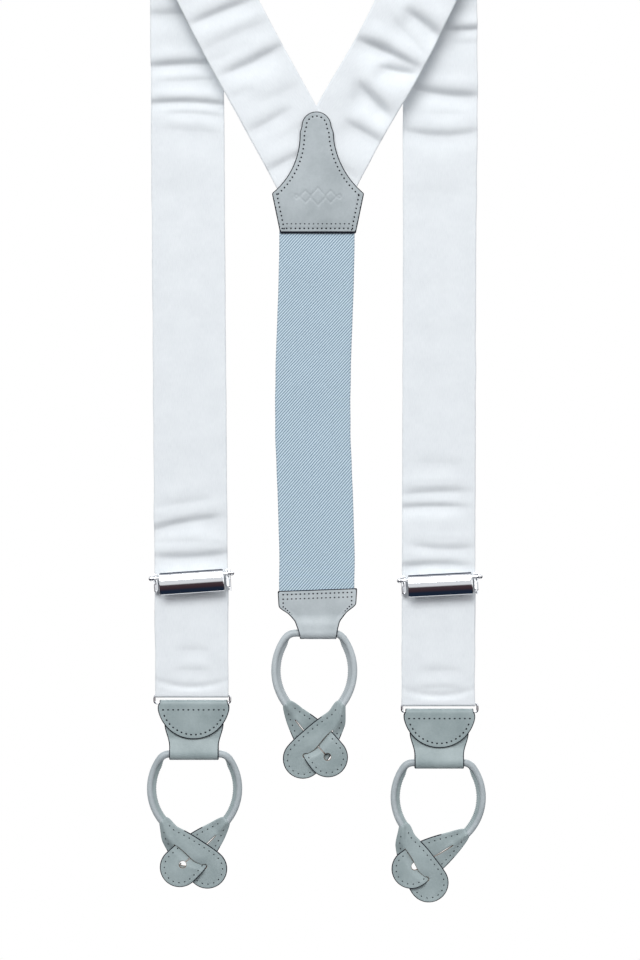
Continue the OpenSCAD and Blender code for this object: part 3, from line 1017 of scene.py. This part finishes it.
def make_yoke():
    outline = yoke_outline()
    pitch = 2.3
    rows = [along(inset(evened(outline), stitch_inset), pitch, closed=True)]
    foot = yoke_foot - yoke_top
    inner_row = [(-yoke_foot_half + 3.6, foot + 4.9), (yoke_foot_half - 3.6, foot + 4.9)]
    rows.append(along(inner_row, pitch))
    outer_y = back_y - 1.3
    lining_y = back_y + 1.3
    for name, node, y, face in (
        ("yoke_front_leather", "yoke_outer", outer_y, -1),
        ("yoke_back_leather", "yoke_lining", lining_y, 1),
    ):
        def lay(x, z, h, y=y, face=face):
            edge = 0.22 * smooth(1 - min(d_edge(x, z), 4) / 4)
            lean = 0.85 * smooth(-z / 40) + 0.2
            return Vector((x * -face + lean, y - face * edge + face * h, yoke_top + z))

        def d_edge(x, z):
            return max(0.0, min(yoke_half_width(z) - abs(x), z - foot, -z))

        # Along the foot and down the lower sides the dark edge paint comes further onto the face: partly
        # the thick double edge, partly painted shade along it.
        def painted(x, z):
            return 0.85 if z < foot + 1.2 else 0.62 if z < -yoke_shoulder else 0.0

        relief = yoke_relief if face < 0 else (lambda x, z, d, side: yoke_relief(x, z, d, -1))
        obj = plate(
            name, outline, lay, leather, hide, relief=relief, grid=0.5 if face < 0 else 1.0,
            painted=painted,
        )
        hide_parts(node)
        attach(obj, "back")
        stitches = seam(
            name.replace("leather", "stitches"), rows, lay, leather, relief, (1,), (0.95, 0.44)
        )
        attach(stitches, "back")


def yoke_half_width(z):
    """Half the yoke's width at a depth below its top."""
    foot = yoke_foot - yoke_top
    if z > -yoke_nub:
        return math.sqrt(max(yoke_nub**2 - (z + yoke_nub) ** 2, 0))
    if z > -yoke_neck[1]:
        return yoke_nub
    shoulder = yoke_neck[0] + yoke_side_r - math.sqrt(
        max(yoke_side_r**2 - (min(-z, yoke_shoulder) - yoke_neck[1]) ** 2, 0)
    )
    if z > -yoke_shoulder:
        return shoulder
    return mix(shoulder, yoke_foot_half, (z + yoke_shoulder) / (foot + yoke_shoulder))


# ---- Tabs ----


def drop_path(offset, top, bend, radius):
    """Route of leather that hangs from top, folds round a rope at the origin and goes back up."""
    reach = math.hypot(offset, bend)
    touch = math.degrees(math.acos(radius / reach) + math.atan2(offset, bend))
    front = [(-offset, top), (-offset, bend)]
    round_part = arc((0, 0), radius, 90 + touch, 450 - touch, 36)
    back = [(offset, bend), (offset, top)]
    return resampled_path(front + round_part + back, 0.4)


def resampled_path(path, step):
    out = []
    for a, b in zip(path, path[1:]):
        parts = max(1, round(math.dist(a, b) / step))
        out += [(mix(a[0], b[0], k / parts), mix(a[1], b[1], k / parts)) for k in range(parts)]
    return [*out, path[-1]]


def outline_along(half, width):
    """A pattern symmetrical about both axes: width(s) is half its width at distance s."""
    steps = 90
    right = [(width(half * (2 * i / steps - 1)), half * (2 * i / steps - 1)) for i in range(steps + 1)]
    return right + [(-x, s) for x, s in reversed(right)]


def tidy_relief(x, s, d, side):
    return -0.1 * bell((d - stitch_inset) / 0.5) + 0.04 * ripple(x, s, 6, 1.5)


def make_flap(side):
    """The D-shaped flap that folds over the ring's lower bar, with its stitching."""
    bar = pivot(side + "_tab_swing")
    wrap = 0.65 + leather / 2
    deep = 20.8
    radius = 19.2
    half_w = 18.85
    fold_half = 17.9
    path = resampled_path(
        [(-wrap, -deep), *arc((0, 0), wrap, 180, 0, 20), (wrap, -deep)], 0.3
    )
    lay_flat, half, _ = folded(path)

    def lay(x, s, h):
        return lay_flat(x, s, -h) + Vector((bar.x + flap_shift[side], bar.y, bar.z))

    mid = deep + wrap * math.pi / 2
    centre = half - (mid - (deep - radius))
    start = math.degrees(math.acos(half_w / radius))
    side_arc = arc((0, centre), radius, start, 180 - start, 40)
    waist = [(-half_w, 3.2), (-fold_half, 1.4), (-fold_half, -1.4), (-half_w, -3.2)]
    one_half = side_arc + waist
    outline = one_half + [(-x, -z) for x, z in one_half]
    obj = plate(
        "tab_flap_leather_" + side, outline, lay, leather, deep_hide, relief=tidy_relief, grid=1.0
    )
    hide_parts("tab_flap_" + side)
    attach(obj, side + "_tab")

    rows = []
    row_arc = arc((0, centre), radius - stitch_inset + 0.1, 24, 156, 40)
    top_s, row_half, pitch = 5.3, 16.0, 2.62
    for sign in (1, -1):
        rows.append(along([(x, sign * z) for x, z in row_arc], pitch))
        rows.append(along([(-row_half, sign * top_s), (row_half, sign * top_s)], pitch))
    stitches = seam("tab_flap_stitches_" + side, rows, lay, leather, tidy_relief, sides=(1,))
    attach(stitches, side + "_tab")


def make_sling(side):
    """The narrower strip between the flap's halves that carries the rope."""
    rope = pivot(side + "_runner_swing")
    path = drop_path(offset=0.32, top=23.8, bend=8.5, radius=fold_r)
    lay_flat, half, height = folded(path)

    def lay(x, s, h):
        return lay_flat(x, s, -h) + Vector((rope.x + sling_shift[side], rope.y, rope.z))

    def thick(x, s):
        return mix(1.15, 0.56, smooth((height(s) - 1) / 8))

    def width(s):
        z = height(s)
        return 13.0 + 2.6 * smooth((z - 4) / 12)

    obj = plate("tab_sling_leather_" + side, outline_along(half, width), lay, thick, deep_hide, grid=1.1)
    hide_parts("tab_sling_" + side)
    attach(obj, side + "_tab")


def make_back_tab():
    """One wide strip that narrows, folds round the back rope and holds the elastic's end."""
    thick, row_half = 1.15, 17.9
    rope = pivot("back_runner_swing")
    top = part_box("back_tab")[1].z * 1000 - rope.z
    path = drop_path(offset=1.32, top=top, bend=9.5, radius=fold_r)
    lay_flat, half, height = folded(path)

    def lay(x, s, h):
        point = lay_flat(x, s, -h)
        point.x += 0.75 + 0.4 * smooth((6 - point.z) / 8)
        point.z += 0.035 * x * smooth((point.z - 4) / 10)
        return point + rope

    def width(s):
        z = height(s)
        heights = (-3, 1.3, 6.2, 10.5, 13, 14.3, top)
        return float(np.interp(z, heights, (9.45, 10.3, 11.8, 15.3, 18.9, 20.3, 20.8)))

    def relief(x, s, d, side):
        z = height(s)
        dent = -0.45 * bell((abs(x) - 11) / 4) * bell((z - 8) / 5)
        over = 0.35 * bell((z - 4.5) / 2.5)
        return tidy_relief(x, s, d, side) + (dent + over) * smooth(d / 3)

    outline = outline_along(half, width)
    # The back tab's leather is the lighter copy of calf, a painted highlight.
    obj = plate(
        "back_tab_leather", outline, lay, thick, painted_highlight_hide, relief=relief, grid=0.8,
        painted=lambda x, s: 0.8 if height(s) > top - 1.2 else 0.0,
    )
    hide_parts("back_tab")
    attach(obj, "back_end")
    rows = []
    for sign in (1, -1):
        for drop in (2.0, 4.4):
            s = sign * (half - drop)
            rows.append(along([(-row_half, s), (row_half, s)], 2.24))
        for out in (-1, 1):
            side_row = [(row_half * out, sign * (half - 6.4)), (row_half * out, sign * (half - 8.4))]
            slope = [(16.7 * out, sign * (half - 9.4)), (12.4 * out, sign * (half - 13.6))]
            rows.append(along(side_row, 2.1))
            rows.append(along(slope, 1.5))
    stitches = seam("back_tab_stitches", rows, lay, thick, relief, (-1,), (0.95, 0.42))
    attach(stitches, "back_end")


# ---- Runners ----

rope_turn = 55
# Each half of a runner, with its rope at the left: half length of the straight, half width, depth
# to the widest place, turn inwards, ear's tip, hole past it. First the slit ear's half.
front_half = (13.3, 23.2, 18.2)
back_half = (9.85, 20.6, 19.6)
runs = {
    "left": ((*front_half, 38, (7.9, -59.3), 0.8), (*front_half, 38, (7.9, -59.3), -2.2)),
    "right": ((*front_half, 32, (-3.5, -62.4), 0.8), (*front_half, 44, (14.3, -55.5), -2.2)),
    "back": ((*back_half, 36, (7.3, -64.7), 0.8), (*back_half, 36, (7.3, -64.7), -0.4)),
}


def rope_route(run):
    """Half of the rope, drawn at the right: from the middle of the straight to its ear's root."""
    straight, wide, depth, inward = run[:4]
    a = math.radians(rope_turn)
    det = math.sin(a) * math.cos(a) - (1 - math.sin(a)) * (1 - math.cos(a))
    small = ((wide - straight) * math.cos(a) - depth * (1 - math.sin(a))) / det
    large = (depth * math.sin(a) - (wide - straight) * (1 - math.cos(a))) / det
    first = arc((straight, -small), small, 90, 90 - rope_turn, 16)
    second = arc((wide - large, -depth), large, 90 - rope_turn, -inward, 56)
    line = [(straight * i / 12, 0) for i in range(12)]
    return line + first + second[1:]


def make_rope(tag, pair, place, body, nodes, flip, skins):
    """The leather tube over its cord, with a pinked seam along its inner side, ear to ear. skins
    are the leathers of the tube and of its seam; the tube's is the lighter one, a painted
    highlight along the cord."""
    left, right = rope_route(pair[0]), rope_route(pair[1])
    route = [(-x, z) for x, z in reversed(left[1:])] + right
    ends = []
    for tip, before in ((route[0], route[1]), (route[-1], route[-2])):
        size = math.dist(tip, before)
        ends.append(tuple(tip[k] + (tip[k] - before[k]) / size * 2.0 for k in (0, 1)))
    route = resampled_path([ends[0], *route, ends[1]], 0.26)
    if flip:
        route = [(-x, z) for x, z in reversed(route)]
    line = np.array(route)
    lengths = np.concatenate(([0], np.cumsum(np.hypot(*np.diff(line, axis=0).T))))
    pinking = 1.05
    tube_from, tube_turn, tube_steps = 32, 308, 20
    rings = []
    for i, p in enumerate(line):
        way = line[min(i + 1, len(line) - 1)] - line[max(i - 1, 0)]
        way = way / np.linalg.norm(way)
        inward = Vector((way[1], 0, -way[0]))
        below = smooth((-p[1] - 1.0) / 5.0)
        near_end = smooth(min(lengths[i], lengths[-1] - lengths[i]) / 2.0)
        tooth = abs(math.sin(math.pi * lengths[i] / pinking))
        fin = below * (fin_len + 0.4 * tooth)
        radius = mix(rope_r, cord_r, below) * mix(0.85, 1, near_end)
        centre = Vector((p[0], 0, p[1])) + place - inward * below * (rope_r - cord_r)
        ring = []
        for k in range(tube_steps + 1):
            n, y = polar(radius, tube_from + tube_turn * k / tube_steps)
            ring.append(centre + inward * n + Vector((0, y, 0)))
        neck = radius * 0.9 + 0.2 * fin
        tip = radius + fin
        for reach, half in ((neck, -0.45), (tip - 0.2, -0.5), (tip, 0), (tip - 0.2, 0.5), (neck, 0.45)):
            ring.append(centre + inward * reach + Vector((0, half + 0.5 * below, 0)))
        rings.append(ring)
    points, faces = skin(rings)
    around = len(rings[0])
    kinds = [int(i % around >= tube_steps and i < len(faces) - 2) for i in range(len(faces))]
    obj = build("rope_leather_" + tag, points, faces, skins, kinds)
    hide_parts(*nodes)
    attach(obj, body)


class Ear:
    """One ear's pattern and where it lies: a along it from the rope, c across it."""

    def __init__(self, run, mirrored, droop):
        end = rope_route(run)[-1]
        self.start = (-end[0], end[1])
        way = (run[4][0] - self.start[0], run[4][1] - self.start[1])
        self.length = math.hypot(*way)
        self.way = (way[0] / self.length, way[1] / self.length)
        self.hole = self.length + run[5]
        self.mirrored = mirrored
        self.droop = droop

    def sink(self, a):
        """How far the ear's middle lies below the straight line to its tip."""
        return self.droop * smooth(a / 9) * (1 - 0.3 * smooth((a - 22) / 14))

    def spot(self, a, c):
        c -= self.sink(a)
        x = self.start[0] + self.way[0] * a - self.way[1] * c
        z = self.start[1] + self.way[1] * a + self.way[0] * c
        return (-x if self.mirrored else x), z

    def pattern_of(self, x, z):
        """The a and c of a place."""
        x = (-x if self.mirrored else x) - self.start[0]
        z = z - self.start[1]
        a = x * self.way[0] + z * self.way[1]
        return a, z * self.way[0] - x * self.way[1] + self.sink(a)

    def half(self, a):
        share = min(max(a / self.length, 0), 1) ** 0.85
        return rope_r + (ear_tip_r - rope_r) * math.sin(math.pi / 2 * share)

    def outline(self):
        """A leaf that widens from the rope to a round tip."""
        steps = 24
        ways = [self.length * i / steps for i in range(steps)]
        up = [(a, self.half(a) + 0.9 * smooth(1 - a / 10)) for a in ways]
        tip = arc((self.length, 0), ear_tip_r, 90, -90, 40)
        down = [(a, -self.half(a)) for a in reversed(ways)]
        return up + tip + down


def crossing(ear, other):
    """Distance along ear to where the other ear's middle crosses it."""
    x, z = other.spot(0, 0)
    x2, z2 = other.spot(other.length, 0)
    a1, c1 = ear.pattern_of(x, z)
    a2, c2 = ear.pattern_of(x2, z2)
    return mix(a1, a2, c1 / (c1 - c2))


def keyhole(hole, start, lens_end, lens, middle, slit, hole_r):
    """A buttonhole: a slit, held open over its first part, with a round end. lens is how far it
    opens above and below its middle line."""
    top, bottom = [], []
    for i in range(1, 24):
        t = i / 24
        a = mix(start, lens_end, t)
        top.append((a, slit * min(1, 5 * t) + lens[0] * math.sin(math.pi * t)))
        bottom.append((a, -slit * min(1, 5 * t) - lens[1] * math.sin(math.pi * t) ** 1.5))
    bottom.reverse()
    open_by = math.degrees(math.asin(slit / hole_r))
    ring = arc((hole, 0), hole_r, 180 - open_by, -180 + open_by, 24)
    return [(a, c + middle(a)) for a, c in [(start, 0)] + top + ring + bottom]


def make_ears(tag, pair, place, body, nodes, flip, skin_of):
    """Both ears of a runner. The slit ear starts at the left; flip mirrors the pair."""
    flat = Ear(pair[0], False, 2.4)
    over = Ear(pair[1], True, 0.3)
    cross = crossing(flat, over)
    slot_start = cross - 10.6
    slot_hole = cross + 8.8
    slot_end = slot_hole - 2.4

    def slit_line(a):
        """The slit ear's buttonhole lies below its middle and turns up to its round end."""
        return 2.2 * smooth((a - cross - 1.8) / 8) - 2.2

    def ridge(lean):
        def relief(a, c, d, side):
            h = 1.5 * smooth(1 - a / 20) * smooth((a + 3) / 5)
            groove = -0.1 * bell((d - stitch_inset) / 0.5)
            return h * bell((c + lean * a) / (1.3 + 0.05 * a)) + groove + 0.06 * ripple(a, c, 5, 7.7)
        return relief

    def painted(a, c):
        return 0.0 if a > 12.5 else -1.0

    def curl(a, c, high, start):
        """How far the lower edge turns up near the rope."""
        return high * smooth((-c - start) / 6) * smooth(1 - (a - 10) / 12) * smooth(a / 5)

    def put(x, y, z):
        return Vector((-x if flip else x, y, z)) + place

    def lay_flat(a, c, h):
        x, z = flat.spot(a, c)
        off = c - slit_line(a)
        mid = (slot_start + slot_hole) / 2
        span = smooth(1.4 - abs(a - mid) / (slot_end - mid))
        lip = -0.55 * math.tanh(2 * off) * bell(off / 3.6) * span
        raised = -0.7 * bell((a - cross) / 10) * smooth((off - 0.5) / 4)
        return put(x, lip + raised + curl(a, c, 2.2, 1.5) - h, z)

    def lay_over(a, c, h):
        x, z = over.spot(a, c)
        at, off = flat.pattern_of(x, z)
        off -= slit_line(at)
        y = ear_step * (2 * smooth((off + 3.4) / 6.8) - 1)
        return put(x, y * smooth(a / 9) + curl(a, c, 0.8, 2) - h, z)

    holes = (
        keyhole(slot_hole, slot_start, slot_end, (0.7, 5.4), slit_line, 0.2, 1.3),
        keyhole(
            over.hole, 9.8, 20, (0.12, 0.12), lambda a: -1.2 * smooth((30 - a) / 6), 0.06, hole_r
        ),
    )
    for name, node, ear, lay, hole, relief in (
        ("ear_slit", nodes[0], flat, lay_flat, holes[0], ridge(0.17)),
        ("ear_tip", nodes[1], over, lay_over, holes[1], ridge(0.1)),
    ):
        obj = plate(
            name + "_leather_" + tag, ear.outline(), lay, ear_thick, skin_of, [hole], relief,
            grid=0.7, painted=painted,
        )
        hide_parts(node)
        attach(obj, body)
        row = seam_of_ear(ear.outline())
        beads = seam(name + "_stitches_" + tag, [row], lay, ear_thick, relief, bead=(0.8, 0.3))
        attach(beads, body)


def seam_of_ear(outline):
    """The stitches round an ear, leaving out its root."""
    bare_root, pitch = 5.0, 3.1
    line = [p for p in inset(evened(outline), stitch_inset - 0.1) if p[0] > bare_root]
    first = max(range(len(line)), key=lambda i: math.dist(line[i], line[i - 1]))
    return along(line[first:] + line[:first], pitch)


# ---- Adjusters and rings ----


def finish_metal(side):
    """The CAD's own frame and pin stay in sight, in chrome."""
    for node in ("adjuster_frame_", "adjuster_pin_"):
        obj = frame["nodes"][node + side]
        obj.data.materials.clear()
        obj.data.materials.append(chrome)


def adjuster_lay(side):
    """Puts a point, measured from the middle of the lever pin, on the tilted adjuster."""
    pin = pivot(side + "_lever_flip")
    axis = joints[side + "_lever_flip"]["axis"]
    x_way = Vector((-axis[0], 0, -axis[2])).normalized()
    z_way = Vector((-x_way.z, 0, x_way.x))
    return lambda x, y, z: pin + x_way * x + Vector((0, y, 0)) + z_way * z


def make_lever(side):
    """The bowed lever, with the barrel that turns on the pin and the cam behind it."""
    at = adjuster_lay(side)
    bow_r, half_angle, lean = 10.7, 33, 5
    top, thick = 2.6, 0.8
    half_w = 17.0
    rise = bow_r * math.radians(half_angle)

    def lay(x, s, h):
        angle = 180 - math.degrees(s / bow_r) - lean
        y, z = polar(bow_r + h, angle)
        top_y, top_z = polar(bow_r, 180 - half_angle - lean)
        return at(x, y - top_y - 0.8, z - top_z + top)

    corner = 1.0
    outline = []
    for sx, sz, a0 in ((1, 1, 90), (1, -1, 0), (-1, -1, -90), (-1, 1, 180)):
        outline += arc((sx * (half_w - corner), sz * (rise - corner)), corner, a0, a0 - 90, 6)
    shell = plate("lever_" + side, outline, lay, thick, plated, grid=1.0)
    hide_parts("adjuster_lever_" + side)
    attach(shell, side + "_lever")

    barrel_r, full_x, end_x, end_share = 1.0, 16.3, 16.6, 0.88
    cam = [(1.8, -0.9), (2.9, -0.7), (3.2, 0), (2.9, 0.7), (1.8, 0.9)]
    section = arc((0, 0), barrel_r, 40, 320, 20) + cam
    rings = []
    for x, share in ((-end_x, end_share), (-full_x, 1), (full_x, 1), (end_x, end_share)):
        rings.append([at(x, y * share, z * share) for y, z in section])
    points, faces = skin(rings)
    barrel = build("lever_barrel_" + side, points, faces, [chrome])
    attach(barrel, side + "_lever")


def make_guards(side):
    """The narrow folded-in fronts of the frame's two cheeks, beside the lever."""
    at = adjuster_lay(side)
    for name, sign in (("outer", OUT[side]), ("inner", -OUT[side])):
        inner_x, outer_x = 17.5, 20.1
        foot, top = -7.4, 2.4
        outline = [
            (sign * outer_x, foot), (sign * outer_x, 1.6), (sign * (outer_x - 0.9), top),
            (sign * (inner_x + 0.5), top), (sign * inner_x, 1.4), (sign * inner_x, -6.2),
            (sign * (inner_x + 0.9), foot),
        ]

        def lay(x, z, h, sign=sign):
            turn = 1.2 * smooth((abs(x) - 19.0) / 1.2)
            return at(x, 1.0 + turn + 0.12 * z - h, z)

        guard = plate(f"guard_{name}_{side}", outline, lay, 0.7, plated, grid=0.9)
        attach(guard, side + "_adjuster")


def make_ring(side):
    """The bent wire ring: one rounded oblong of wire."""
    upper = pivot(side + "_ring_swing")
    lower = pivot(side + "_tab_swing")
    half = 19.9
    corner = 1.3
    wire = 0.6
    route = []
    corners = ((1, upper.z, -1, 90), (1, lower.z, 1, 0), (-1, lower.z, 1, -90), (-1, upper.z, -1, -180))
    for sx, z0, sz, a0 in corners:
        route += arc((sx * (half - corner), z0 + sz * corner), corner, a0, a0 - 90, 8)
    count = len(route)
    rings = []
    for i, p in enumerate(route):
        a, b = route[i - 1], route[(i + 1) % count]
        dx, dz = b[0] - a[0], b[1] - a[1]
        size = math.hypot(dx, dz)
        out = Vector((-dz / size, 0, dx / size))
        centre = Vector((upper.x + p[0], upper.y, p[1]))
        ring = []
        for k in range(14):
            n, y = polar(wire, 360 * k / 14)
            ring.append(centre + out * n + Vector((0, y, 0)))
        rings.append(ring)
    points, faces = skin(rings, closed=True)
    obj = build("ring_wire_" + side, points, faces, [chrome])
    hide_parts("ring_" + side)
    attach(obj, side + "_ring")


# ---- All of it ----

make_yoke()
make_elastic()
make_back_tab()
rope = pivot("back_runner_swing") + Vector((runner_shift["back"], 0, 0))
# The back rope's tube is the lighter copy of calf, a painted highlight along its cord.
make_rope("back", runs["back"], rope, "back_runner", ["back_rope", "back_core"], True, [calf_painted_highlight, calf])
make_ears(
    "back", runs["back"], rope, "back_runner", ["back_ear_slit", "back_ear_tip"], True, deep_hide
)
for side in SIDES:
    rope = pivot(side + "_runner_swing") + Vector((runner_shift[side], 0, 0))
    runner = side + "_runner"
    make_shoulder(side)
    make_front(side)
    make_return(side)
    make_ring(side)
    finish_metal(side)
    make_lever(side)
    make_guards(side)
    make_flap(side)
    make_sling(side)
    # The tube in calf, lighter than the runner's calf_deep seam: a painted highlight along the cord.
    make_rope(side, runs[side], rope, runner, ["rope_" + side, "core_" + side], False, [calf, calf_deep])
    make_ears(
        side, runs[side], rope, runner, ["ear_slit_" + side, "ear_tip_" + side], False, deep_hide
    )
